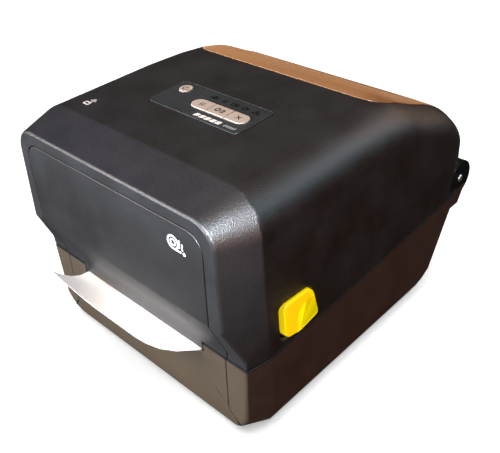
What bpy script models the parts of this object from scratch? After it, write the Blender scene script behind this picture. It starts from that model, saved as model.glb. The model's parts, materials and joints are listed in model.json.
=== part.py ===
"""Desktop thermal label printer, closed, with a label roll loaded.

Lengths are in millimetres and become metres when a mesh is made.  A place is
written (x, depth, z): x is to the right seen from the front, depth counts back
from the foremost point of the cover, z is up from the table.
"""
import math

import bmesh
import bpy
from mathutils import Vector

MM = 0.001
GAP = 0.3            # clearance between touching pieces
CLEAR = 0.4          # visible joint line between mouldings
PART_GAP = 1.0       # shadow gap between the cover and the base

# ---------------------------------------------------------------- outer body
HALF_WIDTH = 89.0    # body half width
HEIGHT = 150.0
EAR_REAR = 221.0     # rearmost point of the hinge ears
LABEL_REACH = 13.5   # how far the torn label stands out in front
WALL = 2.5
FRONT_WALL = 5.0     # the cover's front, thick enough for the panel's recess
CENTRE_DEPTH = (EAR_REAR - LABEL_REACH) / 2

PART_FRONT = 56.6    # height of the parting line at the front crease
PART_SLOPE = 0.05    # its rise per millimetre of depth
CREASE_SIDE = 24.0   # depth of the crease on the sides
CREASE_TOP = 29.2    # and on the top

FACE_HALF = 81.4     # half width of the front face at its foot
FACE_HALF_TOP = 80.0
FACE_FOOT = 86.0     # height of the front face's foot
FACE_TOP = 145.3
FACE_LEAN = 3.3      # how far the face leans back at its top
FACE_CORNER = 14.0
LIP_DEPTH = 9.1      # depth of the cover's lower lip
LIP_TOP = 62.2
LIP_HALF = 85.9
TOP_CORNER = 20.0    # radius between the top and the sides
ARC_STEPS = 10

# depth, half width, top height, corner width and corner height of the cover behind the crease
REAR_SECTIONS = (
    (100.0, 89.0, 150.0, 21.0, 20.0), (125.0, 89.0, 150.0, 25.0, 21.0), (141.0, 89.0, 149.9, 32.0, 23.0),
    (149.0, 89.0, 148.9, 36.0, 24.0), (153.0, 89.0, 147.0, 36.0, 24.0), (167.0, 89.0, 139.2, 32.0, 23.0),
    (184.0, 88.8, 130.4, 24.0, 20.0), (196.0, 88.2, 123.2, 20.0, 18.0), (205.0, 86.2, 115.2, 18.0, 17.0),
    (212.0, 82.4, 104.0, 16.0, 16.0), (216.6, 78.4, 90.0, 16.0, 14.0), (218.8, 75.6, 77.0, 8.0, 7.0),
)
REAR_FOOT = 62.0     # lower edge of the cover behind the hinge

BASE_FOOT = 3.0
BASE_KNEE = 18.0     # height where the bottom rounding ends
BASE_FRONT_KNEE = 7.4
BASE_FRONT_HALF = 83.4
BASE_FRONT_HALF_TOP = 86.0
BASE_REAR_TOP = 208.6
BASE_REAR_SLOPE = 0.69
BASE_REAR_LEVEL = 57.0
BASE_REAR_CORNER = 8.0
# height, side inset, front inset, front corner inset of the rounded bottom
BASE_LEVELS = ((3.0, 6.4, 2.4, 13.0), (5.0, 4.6, 1.5, 9.5), (8.5, 2.6, 0.7, 5.5), (13.0, 1.0, 0.2, 2.0),
               (18.0, 0.0, 0.0, 0.0))

# ---------------------------------------------------------------- hinge, latch
HINGE = (209.0, 71.0)            # depth and height of the cover's axis
EAR_RADIUS = 12.0
EAR_X = (78.0, 87.0)
EAR_ROOM_X = 77.2                # the cover is notched outside this
PIN_RADIUS = 2.5
KNUCKLE_X = (70.0, 77.0)

LATCH_TRAVEL = 2.0
LATCH_OUTLINE = ((34.3, 66.5), (35.0, 64.2), (36.8, 62.6), (44.6, 60.6), (46.6, 60.6), (58.0, 62.6), (59.6, 63.6),
                 (60.1, 65.4), (57.6, 77.8), (56.6, 80.6), (54.9, 82.7), (52.6, 83.6), (37.6, 84.6),
                 (35.6, 84.0), (34.5, 82.4))
# outline of the finger scoop: rim, and floor shrunk away from the lower edge
LATCH_RIM = ((43.6, 62.0), (58.4, 64.4), (59.0, 65.6), (56.6, 77.6), (48.6, 77.4), (46.4, 76.4), (44.4, 74.2),
             (43.6, 71.4))
LATCH_FLOOR = ((44.2, 67.4), (57.6, 68.6), (58.0, 68.8), (56.4, 77.0), (49.0, 76.9), (47.0, 76.0), (45.2, 74.0),
               (44.2, 71.4))
LATCH_X = (85.4, 90.8)
GRIP_DEPTH = 2.6
LATCH_SHAFT = (52.0, 66.0)
SHAFT_RADIUS = 2.0
HOOK_X = (76.0, 79.0)
KEEPER = (46.5, 53.4)
KEEPER_RADIUS = 1.5

# ---------------------------------------------------------------- feed path
WEB_Z = 49.85        # middle of the label web above the platen
WEB_THICK = 0.35
WEB_HALF = 51.5
PLATEN = (23.0, 42.4)
PLATEN_RADIUS = 7.0
PLATEN_HALF = 54.0
SHAFT_R = 2.4
ROLL = (128.0, 72.0)
ROLL_RADIUS = 50.0
CORE_OUTER = 15.0
CORE_INNER = 12.9
BEND_DEPTH = 49.0    # where the web turns up towards the roll
NOTCH_HALF = 53.6
NOTCH_Z = 49.2

GEAR_MODULE = 0.8
PLATEN_TEETH = 20
IDLER_TEETH = 30
PINION_TEETH = 12
GEAR_X = (-68.4, -63.4)
IDLER_ANGLE = -42.0
PINION_ANGLE = -15.0

# ---------------------------------------------------------------- media holders
HOLDER_X = (52.6, 55.6)
RACK_Z = (13.5, 16.5)
RACK_MODULE = 1.0
RACK_TEETH = 14
TRAY_Z = (18.5, 20.5)
POST_PLACES = ((70.0, 78.0), (70.0, 144.0))
FOOT_PLACES = ((68.0, 32.0), (68.0, 160.0))

# ---------------------------------------------------------------- control panel
PANEL_X = 35.4
PANEL_DEPTH = (63.8, 93.5)
BAR_X = (-11.0, 31.0)
BAR_DEPTH = (72.5, 82.0)
POWER_PLACE = (-27.0, 86.0)
POWER_RADIUS = 4.2
BUTTON_TOP = 150.8

# ---------------------------------------------------------------- media window
WINDOW_HALF = 72.5
WINDOW_DEPTH = (134.0, 206.0)
WINDOW_CORNER = 13.0

BLACK_CASE = ((0.030, 0.031, 0.035), 0.55, 0.0)
DARK_CASE = ((0.022, 0.022, 0.024), 0.6, 0.0)
PANEL_GREY = ((0.050, 0.056, 0.058), 0.45, 0.0)
SMOKED = ((0.06, 0.04, 0.03), 0.08, 0.0)
YELLOW = ((0.95, 0.72, 0.0), 0.45, 0.0)
BEIGE = ((0.55, 0.48, 0.45), 0.5, 0.0)
RUBBER = ((0.02, 0.02, 0.02), 0.9, 0.0)
STEEL = ((0.55, 0.56, 0.58), 0.35, 1.0)
PAPER = ((0.9, 0.9, 0.88), 0.7, 0.0)
CARD = ((0.45, 0.33, 0.20), 0.85, 0.0)
BOARD = ((0.02, 0.16, 0.07), 0.5, 0.0)
NYLON = ((0.80, 0.80, 0.76), 0.5, 0.0)
CERAMIC = ((0.25, 0.20, 0.17), 0.3, 0.0)


# ================================================================ tools
def remove_all():
    for item in list(bpy.data.objects):
        bpy.data.objects.remove(item, do_unlink=True)


def place(x, depth, z):
    return Vector((x, depth - CENTRE_DEPTH, z)) * MM


def paint(item, look):
    """Give an object its own material."""
    colour, rough, metal = look
    material = bpy.data.materials.new(item.name)
    material.use_nodes = True
    shader = material.node_tree.nodes["Principled BSDF"]
    shader.inputs["Base Color"].default_value = (*colour, 1.0)
    shader.inputs["Roughness"].default_value = rough
    shader.inputs["Metallic"].default_value = metal
    item.data.materials.clear()
    item.data.materials.append(material)


def make(name, mesh, look=None):
    """Link a mesh as an object."""
    item = bpy.data.objects.new(name, mesh)
    bpy.context.scene.collection.objects.link(item)
    if look is not None:
        paint(item, look)
    return item


def mesh_from(bm, name):
    bmesh.ops.recalc_face_normals(bm, faces=bm.faces)
    mesh = bpy.data.meshes.new(name)
    bm.to_mesh(mesh)
    bm.free()
    return mesh


def loft(name, halves):
    """Skin rings, each given as its right half, and cap both ends.

    A cap is a ladder of flat strips from side to side, so it can be folded.
    """
    bm = bmesh.new()
    rings = []
    for half in halves:
        right = [bm.verts.new(place(*point)) for point in half]
        left = [bm.verts.new(place(-x, depth, z)) for x, depth, z in half]
        rings.append((right, left))
    for (right, left), (next_right, next_left) in zip(rings, rings[1:]):
        near = right + left[::-1]
        far = next_right + next_left[::-1]
        for i in range(len(near)):
            j = (i + 1) % len(near)
            bm.faces.new((near[i], near[j], far[j], far[i]))
    for right, left in (rings[0], rings[-1]):
        for i in range(len(right) - 1):
            bm.faces.new((right[i], right[i + 1], left[i + 1], left[i]))
    bmesh.ops.triangulate(bm, faces=bm.faces)
    return make(name, mesh_from(bm, name))


def prism(name, axis, outline, low, high, look=None):
    """Extrude an outline along X (depth, z), Y (x, z) or Z (x, depth)."""
    def point(pair, along):
        if axis == "X":
            return place(along, pair[0], pair[1])
        if axis == "Y":
            return place(pair[0], along, pair[1])
        return place(pair[0], pair[1], along)
    bm = bmesh.new()
    face = bm.faces.new([bm.verts.new(point(pair, low)) for pair in outline])
    grown = bmesh.ops.extrude_face_region(bm, geom=[face])
    moved = [v for v in grown["geom"] if isinstance(v, bmesh.types.BMVert)]
    shift = point(outline[0], high) - point(outline[0], low)
    bmesh.ops.translate(bm, verts=moved, vec=shift)
    return make(name, mesh_from(bm, name), look)


def box(name, x, depth, z, look=None):
    outline = ((x[0], depth[0]), (x[1], depth[0]), (x[1], depth[1]), (x[0], depth[1]))
    return prism(name, "Z", outline, z[0], z[1], look)


def arc(centre, radius, first, last, steps):
    """Points of an arc; the angles are in degrees."""
    angles = [math.radians(first + (last - first) * i / steps) for i in range(steps + 1)]
    return [(centre[0] + radius * math.cos(a), centre[1] + radius * math.sin(a)) for a in angles]


def rounded(x, y, radius, steps=4):
    """A rectangle with round corners."""
    corners = ((x[1] - radius, y[1] - radius, 0), (x[0] + radius, y[1] - radius, 90),
               (x[0] + radius, y[0] + radius, 180), (x[1] - radius, y[0] + radius, 270))
    return [p for cx, cy, a in corners for p in arc((cx, cy), radius, a, a + 90, steps)]


def turned(name, axis, centre, profile, steps, look=None):
    """Spin a profile of (radius, along) points about an axis through centre."""
    def point(radius, along):
        if axis == "X":
            return place(along, centre[0] + radius, centre[1])
        if axis == "Y":
            return place(centre[0] + radius, along, centre[1])
        return place(centre[0] + radius, centre[1], along)
    direction = {"X": Vector((1, 0, 0)), "Y": Vector((0, 1, 0)), "Z": Vector((0, 0, 1))}[axis]
    bm = bmesh.new()
    verts = [bm.verts.new(point(*pair)) for pair in profile]
    edges = [bm.edges.new(pair) for pair in zip(verts, verts[1:])]
    if profile[0][0] > 0:
        edges.append(bm.edges.new((verts[-1], verts[0])))
    bmesh.ops.spin(bm, geom=verts + edges, cent=point(0, 0), axis=direction,
                   angle=2 * math.pi, steps=steps, use_merge=True)
    bmesh.ops.remove_doubles(bm, verts=bm.verts, dist=0.01 * MM)
    item = make(name, mesh_from(bm, name), look)
    smooth(item)
    return item


def rod(name, axis, centre, radius, span, look=None, steps=16):
    profile = ((0.0, span[0]), (radius, span[0]), (radius, span[1]), (0.0, span[1]))
    return turned(name, axis, centre, profile, steps, look)


def tube(name, axis, centre, outer, inner, span, look=None, steps=24):
    profile = ((inner, span[0]), (outer, span[0]), (outer, span[1]), (inner, span[1]))
    return turned(name, axis, centre, profile, steps, look)


def smooth(item, degrees=35.0):
    item.data.shade_smooth()
    item.data.set_sharp_from_angle(angle=math.radians(degrees))


def apply_modifiers(item):
    bpy.context.view_layer.update()
    graph = bpy.context.evaluated_depsgraph_get()
    result = bpy.data.meshes.new_from_object(item.evaluated_get(graph))
    item.modifiers.clear()
    item.data = result


def combine(item, operation, others):
    """Boolean the other objects into item, one by one, and remove them."""
    for other in others:
        step = item.modifiers.new(operation.lower(), "BOOLEAN")
        step.operation = operation
        step.solver = "EXACT"
        step.object = other
        apply_modifiers(item)
        bpy.data.objects.remove(other, do_unlink=True)
    return item


def cut(item, *others):
    return combine(item, "DIFFERENCE", others)


def join(item, *others):
    return combine(item, "UNION", others)


def common(item, *others):
    return combine(item, "INTERSECT", others)


def finish(item, look):
    """Paint a piece, merge its flat faces again and shade its curves smooth."""
    paint(item, look)
    bm = bmesh.new()
    bm.from_mesh(item.data)
    bmesh.ops.dissolve_limit(bm, angle_limit=math.radians(0.05), verts=bm.verts, edges=bm.edges)
    bm.to_mesh(item.data)
    bm.free()
    for face in item.data.polygons:
        face.material_index = 0
    smooth(item, 25.0)


def both_sides(outline):
    """Mirror an outline's right half, listed from foot to top, to the left."""
    return list(outline) + [(-x, *rest) for x, *rest in reversed(outline) if x > 0.01]


def mirrored_x(span):
    return (-span[1], -span[0])


def sided(side, span):
    return span if side > 0 else mirrored_x(span)


SIDES = (("left", -1), ("right", 1))


# ================================================================ outer shapes
def parting(depth):
    return PART_FRONT + PART_SLOPE * max(0.0, depth - CREASE_SIDE)


def arch_side(half, top, corner, foot, depth_side, depth_top, drop):
    """Right half of one arched section of the cover; corner is its width and height."""
    wide, tall = corner
    spring = top - tall
    lip = foot + min(LIP_TOP - PART_FRONT, (spring - foot) / 3)
    shoulder = min(FACE_FOOT, spring - (spring - foot) / 4)
    points = [(half, depth_side, foot - drop), (half, depth_side, lip), (half, depth_side, shoulder)]
    for i, (across, up) in enumerate(arc((0, 0), 1.0, 0, 90, ARC_STEPS)):
        depth = depth_side + i / ARC_STEPS * (depth_top - depth_side)
        points.append((half - wide + across * wide, depth, spring + up * tall))
    return points


def face_side(inset, back, foot):
    """Right half of the front section: lip, undercut and leaning face."""
    lean = FACE_LEAN / (FACE_TOP - FACE_FOOT)
    corner = FACE_CORNER - inset
    top = FACE_TOP - inset
    half = FACE_HALF_TOP - inset
    points = [(LIP_HALF - inset, LIP_DEPTH + back, foot), (LIP_HALF - inset, LIP_DEPTH + back, LIP_TOP),
              (FACE_HALF - inset, back, FACE_FOOT)]
    for x, z in arc((half - corner, top - corner), corner, 0, 90, ARC_STEPS):
        points.append((x, back + lean * (z - FACE_FOOT), z))
    return points


def cover_solid(name, inset=0.0, back=0.0, drop=0.0):
    """The cover's outer form, or with an inset the space inside it."""
    rings = [face_side(inset, back, PART_FRONT - drop)]
    rings.append(arch_side(HALF_WIDTH - inset, HEIGHT - inset, (TOP_CORNER - inset, TOP_CORNER - inset),
                           PART_FRONT, CREASE_SIDE + inset / 2, CREASE_TOP + inset / 2, drop))
    for depth, half, top, wide, tall in REAR_SECTIONS:
        behind = depth > HINGE[0] - EAR_RADIUS
        foot = REAR_FOOT if behind else parting(depth)
        at = depth - inset if behind else depth
        rings.append(arch_side(half - inset, top - inset, (wide - inset, tall - inset), foot, at, at, drop))
    return loft(name, rings)


def base_ring(z, side_in, front_in, corner_in, wall=0.0, follow_parting=False, lift=0.0):
    """Closed outline of the base at one height."""
    share = max(0.0, (z - BASE_KNEE) / (PART_FRONT - BASE_KNEE))
    front = BASE_FRONT_KNEE + share * (LIP_DEPTH - BASE_FRONT_KNEE) + front_in + wall
    front_half = BASE_FRONT_HALF + share * (BASE_FRONT_HALF_TOP - BASE_FRONT_HALF) - corner_in - wall
    side = HALF_WIDTH - side_in - wall
    rear = BASE_REAR_TOP - BASE_REAR_SLOPE * max(0.0, BASE_REAR_LEVEL - z) - side_in / 2 - wall
    corner = BASE_REAR_CORNER - wall / 2
    right = [(front_half, front), (side, CREASE_SIDE + wall / 2)]
    right += arc((side - corner, rear - corner), corner, 0, 90, 5)
    return [(x, depth, parting(depth) - PART_GAP + lift if follow_parting else z) for x, depth in right]


def base_solid(name, wall=0.0, lift=0.0, sink=0.0):
    rings = []
    for index, (z, side_in, front_in, corner_in) in enumerate(BASE_LEVELS):
        ring = base_ring(z, side_in, front_in, corner_in, wall)
        if index == 0 and sink > 0:
            rings.append([(x, depth, height - sink) for x, depth, height in ring])
        rings.append(ring)
    rings.append(base_ring(PART_FRONT, 0.0, 0.0, 0.0, wall, follow_parting=True, lift=lift))
    return loft(name, rings)


def panel_outline(grow):
    """Front panel seen from the front: straight sides and two round top corners."""
    half, top, corner = 72.0 + grow, 137.5 + grow, 10.0 + grow
    right = [(half, 40.0)] + arc((half - corner, top - corner), corner, 0, 90, 5)
    return both_sides(right)


def window_outline(grow):
    """Window seen from above, with round corners at the front."""
    return rounded((-WINDOW_HALF - grow, WINDOW_HALF + grow), (WINDOW_DEPTH[0] - grow, WINDOW_DEPTH[1] + grow),
                   WINDOW_CORNER + grow, 6)


# ================================================================ cover body
def build_cover():
    cover = cover_solid("top_cover")
    cut(cover, cover_solid("inside", WALL, FRONT_WALL, 12.0))
    bosses = [rod("boss", "Z", (side * 40.5, depth), 2.2, (139.8, HEIGHT - 1.0), steps=8)
              for side in (-1, 1) for depth in (65.0, 92.0)]
    join(cover, *bosses)
    for _, side in SIDES:
        web = box("web", sided(side, KNUCKLE_X), (HINGE[0] - 1, 217.5), (66.0, 76.0))
        eye = rod("eye", "X", HINGE, 6.0, sided(side, KNUCKLE_X), steps=20)
        join(cover, join(web, eye))
    recess = prism("recess", "Y", panel_outline(CLEAR), -20.0, 40.0)
    cut(recess, cover_solid("shifted", 0.0, 2.8, 5.0))
    cut(cover, recess)
    for _, side in SIDES:
        notch = box("notch", sided(side, (EAR_ROOM_X, 100.0)), (195.6, 240.0), (40.0, HINGE[1]))
        ring = rod("ring", "X", HINGE, EAR_RADIUS + 0.9, sided(side, (EAR_ROOM_X, 100.0)), steps=32)
        rear = box("rear", sided(side, (EAR_ROOM_X, 100.0)), (HINGE[0], 240.0), (HINGE[1] - 1, 83.9))
        pin = rod("pin", "X", HINGE, PIN_RADIUS + GAP, sided(side, (60.0, 100.0)), steps=16)
        slot = prism("slot", "X", latch_slot(), *sided(side, (80.0, 95.0)))
        cut(cover, notch, ring, rear, pin, slot)
    hole_x = (-PANEL_X - CLEAR, PANEL_X + CLEAR)
    hole_depth = (PANEL_DEPTH[0] - CLEAR, PANEL_DEPTH[1] + CLEAR)
    cut(cover, prism("panel_hole", "Z", rounded(hole_x, hole_depth, 3.4), 140.0, 160.0))
    cut(cover, prism("window_hole", "Z", window_outline(CLEAR), 100.0, 170.0))
    finish(cover, BLACK_CASE)


def latch_slot():
    """The latch's opening: room all round, room to slide forward, open below."""
    front = LATCH_OUTLINE[0][0] - LATCH_TRAVEL - CLEAR
    return ((front, 63.6), (front + 1.6, 61.6), (43.0, 59.7), (46.6, 59.8), (58.4, 61.9), (60.2, 63.0),
            (60.9, 65.2), (58.3, 78.2), (57.1, 81.4), (55.2, 83.4), (52.8, 84.3), (front + 3.2, 85.4),
            (front + 1.0, 84.6), (front, 83.0))


def build_front_panel():
    panel = prism("front_panel", "Y", panel_outline(0.0), -20.0, 40.0)
    common(panel, cover_solid("outer"))
    cut(panel, cover_solid("shifted", 0.0, 2.4, 5.0))
    lip = box("lip", (-53.0, 53.0), (LIP_DEPTH, LIP_DEPTH + 2.4), (50.8, 58.5))
    join(panel, lip)
    finish(panel, BLACK_CASE)
    box("tear_bar", (-52.5, 52.5), (11.9, 13.1), (50.6, 56.2), STEEL)


def build_window():
    window = prism("media_window", "Z", window_outline(0.0), 100.0, 170.0)
    common(window, cover_solid("outer"))
    cut(window, cover_solid("inside", WALL, FRONT_WALL, 12.0))
    finish(window, SMOKED)


def stadium_part(x, ends):
    """One key of the row; ends says which end is round, -1 left, 1 right, 0 none."""
    radius = (BAR_DEPTH[1] - BAR_DEPTH[0]) / 2
    middle = (BAR_DEPTH[0] + BAR_DEPTH[1]) / 2
    if ends < 0:
        return arc((x[0] + radius, middle), radius, 90, 270, 8) + [(x[1], BAR_DEPTH[0]), (x[1], BAR_DEPTH[1])]
    if ends > 0:
        return arc((x[1] - radius, middle), radius, -90, 90, 8) + [(x[0], BAR_DEPTH[1]), (x[0], BAR_DEPTH[0])]
    return [(x[0], BAR_DEPTH[0]), (x[1], BAR_DEPTH[0]), (x[1], BAR_DEPTH[1]), (x[0], BAR_DEPTH[1])]


KEYS = (("pause_button", (-11.0, 2.8), -1), ("feed_button", (3.2, 16.9), 0), ("cancel_button", (17.3, 31.0), 1))


def build_controls():
    flange = box("control_panel", (-37.2, 37.2), (62.2, 95.1), (145.7, 147.1))
    plate = prism("plate", "Z", rounded((-PANEL_X, PANEL_X), PANEL_DEPTH, 3.0), 146.5, HEIGHT + 0.25)
    panel = join(flange, plate)
    radius = (BAR_DEPTH[1] - BAR_DEPTH[0]) / 2 + CLEAR
    bar_x = (BAR_X[0] - CLEAR, BAR_X[1] + CLEAR)
    bar_depth = (BAR_DEPTH[0] - CLEAR, BAR_DEPTH[1] + CLEAR)
    bar = rounded(bar_x, bar_depth, radius - 0.01, 6)
    cut(panel, prism("bar_hole", "Z", bar, 140.0, 155.0),
        rod("power_hole", "Z", POWER_PLACE, POWER_RADIUS + CLEAR, (140.0, 155.0), steps=24))
    finish(panel, PANEL_GREY)

    middle = (BAR_DEPTH[0] + BAR_DEPTH[1]) / 2
    for name, span, ends in KEYS:
        key = prism(name, "Z", stadium_part(span, ends), 144.6, BUTTON_TOP)
        tab = box("tab", (span[0] + 1.5, span[1] - 1.5), (BAR_DEPTH[0] - 1.2, BAR_DEPTH[1] + 1.2), (143.6, 144.9))
        stem = rod("stem", "Z", ((span[0] + span[1]) / 2, middle), 1.5, (141.1, 144.0), steps=10)
        join(key, tab, stem)
        finish(key, BEIGE)
    profile = ((0.0, 141.1), (1.5, 141.1), (1.5, 143.6), (POWER_RADIUS + 1.0, 143.6), (POWER_RADIUS + 1.0, 144.9),
               (POWER_RADIUS, 144.9), (POWER_RADIUS, BUTTON_TOP - 0.3), (POWER_RADIUS - 0.4, BUTTON_TOP),
               (0.0, BUTTON_TOP - 0.2))
    turned("power_button", "Z", POWER_PLACE, profile, 24, BEIGE)

    board = box("control_board", (-43.0, 43.0), (62.5, 94.5), (138.0, 139.4))
    spots = [((span[0] + span[1]) / 2, middle) for _, span, _ in KEYS] + [POWER_PLACE]
    switches = [box("switch", (x - 3.0, x + 3.0), (d - 3.0, d + 3.0), (139.0, 140.1)) for x, d in spots]
    plug = box("plug", (20.0, 34.0), (64.5, 69.5), (134.0, 138.4))
    join(board, *switches, plug)
    finish(board, BOARD)


# ================================================================ print mechanism
def spring(name, centre, span, radius, wire, turns):
    """A coil spring of square wire, its ends ground square."""
    steps = 10
    bm = bmesh.new()
    loops = []
    rise = (span[1] - span[0] - wire) / (turns * steps)
    for i in range(turns * steps + 1):
        angle = 2 * math.pi * i / steps
        base = span[0] + wire / 2 + rise * i
        ring = []
        for out, up in ((-0.5, -0.5), (0.5, -0.5), (0.5, 0.5), (-0.5, 0.5)):
            reach = radius + out * wire
            across = (centre[0] + reach * math.cos(angle), centre[1] + reach * math.sin(angle))
            ring.append(bm.verts.new(place(*across, base + up * wire)))
        loops.append(ring)
    for near, far in zip(loops, loops[1:]):
        for i in range(4):
            j = (i + 1) % 4
            bm.faces.new((near[i], near[j], far[j], far[i]))
    bm.faces.new(loops[0])
    bm.faces.new(loops[-1])
    return make(name, mesh_from(bm, name), STEEL)


HEAD_PIVOT = (46.0, 62.0)
FRAME_CHEEK_X = (60.0, 62.0)
SPRING_PLACES = (("left", -30.0), ("right", 30.0))
SPRING_DEPTH = 23.0


def build_print_mechanism():
    inner, outer = FRAME_CHEEK_X
    section = both_sides([(84.6, 90.0), (84.6, 100.0), (86.1, 100.0), (86.1, 88.0), (outer, 88.0), (outer, 56.5),
                          (inner, 56.5), (inner, 88.0)])
    frame = prism("head_frame", "Y", section, 28.0, 57.0)
    shelf = box("shelf", (-58.0, 58.0), (16.0, 29.0), (88.2, 89.8))
    seat = ((0.0, 79.0), (2.6, 79.0), (2.6, 81.5), (5.0, 81.5), (5.0, 88.9), (0.0, 88.9))
    seats = [turned("seat", "Z", (side * 30.0, SPRING_DEPTH), seat, 10) for side in (-1, 1)]
    join(frame, shelf, *seats)
    for _, side in SIDES:
        cut(frame, rod("pivot_hole", "X", HEAD_PIVOT, 1.9, sided(side, (55.0, 70.0)), steps=12),
            rod("shaft_hole", "X", LATCH_SHAFT, SHAFT_RADIUS + GAP, sided(side, (55.0, 70.0)), steps=12))
    finish(frame, STEEL)

    bracket = box("head_bracket", (-58.0, 58.0), (16.0, 48.0), (56.3, 57.9))
    parts = []
    for _, side in SIDES:
        ear = ((34.0, 57.0), (48.0, 57.0), (48.5, 62.0), (46.0, 65.0), (43.5, 65.0), (34.0, 59.0))
        parts.append(prism("ear", "X", ear, *sided(side, (56.0, 57.8))))
        parts.append(rod("stub", "X", HEAD_PIVOT, 1.5, sided(side, (57.0, 62.8)), steps=12))
        parts.append(rod("spigot", "Z", (side * 30.0, SPRING_DEPTH), 2.6, (57.0, 61.5), steps=10))
    join(bracket, *parts)
    finish(bracket, STEEL)

    head = box("printhead", (-55.5, 55.5), (16.0, 31.0), (52.0, 56.0))
    burn = prism("burn", "X", ((20.0, 52.5), (21.2, 50.6), (24.8, 50.6), (26.0, 52.5)), -55.5, 55.5)
    join(head, burn, box("plug", (-12.0, 12.0), (27.0, 31.4), (51.2, 52.5)))
    finish(head, CERAMIC)
    box("upper_sensor", (-32.0, 32.0), (32.6, 36.0), (52.0, 56.0), DARK_CASE)
    for name, x in SPRING_PLACES:
        spring("head_spring_" + name, (x, SPRING_DEPTH), (58.3, 81.1), 3.6, 0.9, 6)


def scoop(side):
    """Finger scoop of a latch: steep walls above and in front, a ramp up to the lower rim."""
    outer = [(side * (LATCH_X[1] + 0.6), depth, z) for depth, z in LATCH_RIM]
    rim = [(side * (LATCH_X[1] - 0.05), depth, z) for depth, z in LATCH_RIM]
    floor = [(side * (LATCH_X[1] - GRIP_DEPTH), depth, z) for depth, z in LATCH_FLOOR]
    bm = bmesh.new()
    rings = [[bm.verts.new(place(*point)) for point in ring] for ring in (outer, rim, floor)]
    for near, far in zip(rings, rings[1:]):
        for i in range(len(near)):
            j = (i + 1) % len(near)
            bm.faces.new((near[i], near[j], far[j], far[i]))
    bm.faces.new(rings[0])
    bm.faces.new(rings[-1])
    bmesh.ops.triangulate(bm, faces=bm.faces)
    return make("scoop", mesh_from(bm, "scoop"))


def build_latches():
    for name, side in SIDES:
        latch = prism("latch_" + name, "X", LATCH_OUTLINE, *sided(side, LATCH_X))
        soften = latch.modifiers.new("soften", "BEVEL")
        soften.width = 0.8 * MM
        soften.segments = 2
        soften.limit_method = "ANGLE"
        soften.angle_limit = math.radians(50)
        apply_modifiers(latch)
        cut(latch, scoop(side))
        finger = box("finger", sided(side, (75.6, 86.5)), (54.7, 57.6), (75.2, 78.0))
        join(latch, finger)
        finish(latch, YELLOW)
    shaft = rod("latch_shaft", "X", LATCH_SHAFT, SHAFT_RADIUS, (-80.6, 80.6), steps=12)
    hook = ((50.4, 49.0), (54.0, 49.0), (54.0, 79.0), (50.4, 79.0), (50.4, 51.4), (44.4, 51.4), (45.4, 49.0))
    for _, side in SIDES:
        join(shaft, prism("hook", "X", hook, *sided(side, HOOK_X)))
    finish(shaft, STEEL)


# ================================================================ base
def build_base():
    base = base_solid("base_housing")
    cut(base, base_solid("inside", WALL, 12.0, 6.0))
    for _, side in SIDES:
        tip = arc(HINGE, EAR_RADIUS, -42, 180, 18) + [(197.0, 52.0), (209.0, 52.0), (214.0, 60.0)]
        ear = prism("ear", "X", tip, *sided(side, EAR_X))
        keeper = rod("keeper", "X", KEEPER, KEEPER_RADIUS, sided(side, (74.6, HALF_WIDTH - 1.0)), steps=12)
        join(base, ear, keeper)
        pin = rod("pin", "X", HINGE, PIN_RADIUS + GAP, sided(side, (70.0, 95.0)), steps=16)
        cut(base, pin)
    cut(base, box("rear_top", (-77.7, 77.7), (190.0, 240.0), (56.8, 80.0)))
    cut(base, prism("bezel_hole", "Y", bezel_outline(CLEAR), -10.0, 15.5))
    cut(base, box("port_hole", (-58.4, 58.4), (160.0, 230.0), (8.8, 33.4)))
    finish(base, DARK_CASE)

    bezel = prism("front_bezel", "Y", bezel_outline(0.0), -10.0, 15.0)
    common(bezel, base_solid("outer"))
    cut(bezel, base_solid("inside", WALL, 12.0, 6.0))
    cut(bezel, box("notch", (-NOTCH_HALF, NOTCH_HALF), (0.0, 20.0), (NOTCH_Z, 70.0)))
    finish(bezel, DARK_CASE)

    floor = both_sides([(x, depth) for x, depth, _ in base_ring(BASE_FOOT, *BASE_LEVELS[0][1:], WALL + CLEAR)])
    plate = prism("bottom_plate", "Z", floor, 3.0, 5.0)
    for x, depth in POST_PLACES:
        for side in (-1, 1):
            cut(plate, rod("hole", "Z", (side * x, depth), 1.8, (0.0, 9.0), steps=10))
    vents = [box("vent", (-30.0, 30.0), (d, d + 2.0), (0.0, 9.0)) for d in (96.0, 102.0, 108.0, 114.0)]
    cut(plate, *vents)
    finish(plate, DARK_CASE)

    for end, (x, depth) in zip(("front", "rear"), FOOT_PLACES):
        for name, side in SIDES:
            profile = ((0.0, 0.0), (6.5, 0.0), (8.0, 1.0), (8.0, 2.7), (0.0, 2.7))
            turned("foot_%s_%s" % (end, name), "Z", (side * x, depth), profile, 20, RUBBER)
    for end, (x, depth) in zip(("front", "rear"), POST_PLACES):
        for name, side in SIDES:
            profile = ((0.0, 1.2), (2.6, 1.2), (3.0, 1.6), (3.0, 2.7), (1.5, 2.7), (1.5, 12.0), (0.0, 12.0))
            turned("base_screw_%s_%s" % (end, name), "Z", (side * x, depth), profile, 10, STEEL)
    for name, side in SIDES:
        ends = ((0.0, 70.6), (PIN_RADIUS, 70.6), (PIN_RADIUS, 87.0), (PIN_RADIUS - 0.5, 87.5), (0.0, 87.5))
        profile = [(radius, side * along) for radius, along in ends]
        turned("hinge_pin_" + name, "X", HINGE, profile, 16, STEEL)


def bezel_outline(grow):
    """Front piece of the base seen from the front: straight, then flared at its foot."""
    right = [(77.0 + grow, 1.0), (77.0 + grow, 9.0), (72.0 + grow, 15.0), (70.0 + grow, 21.0), (70.6 + grow, 70.0)]
    return both_sides(right)


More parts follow.
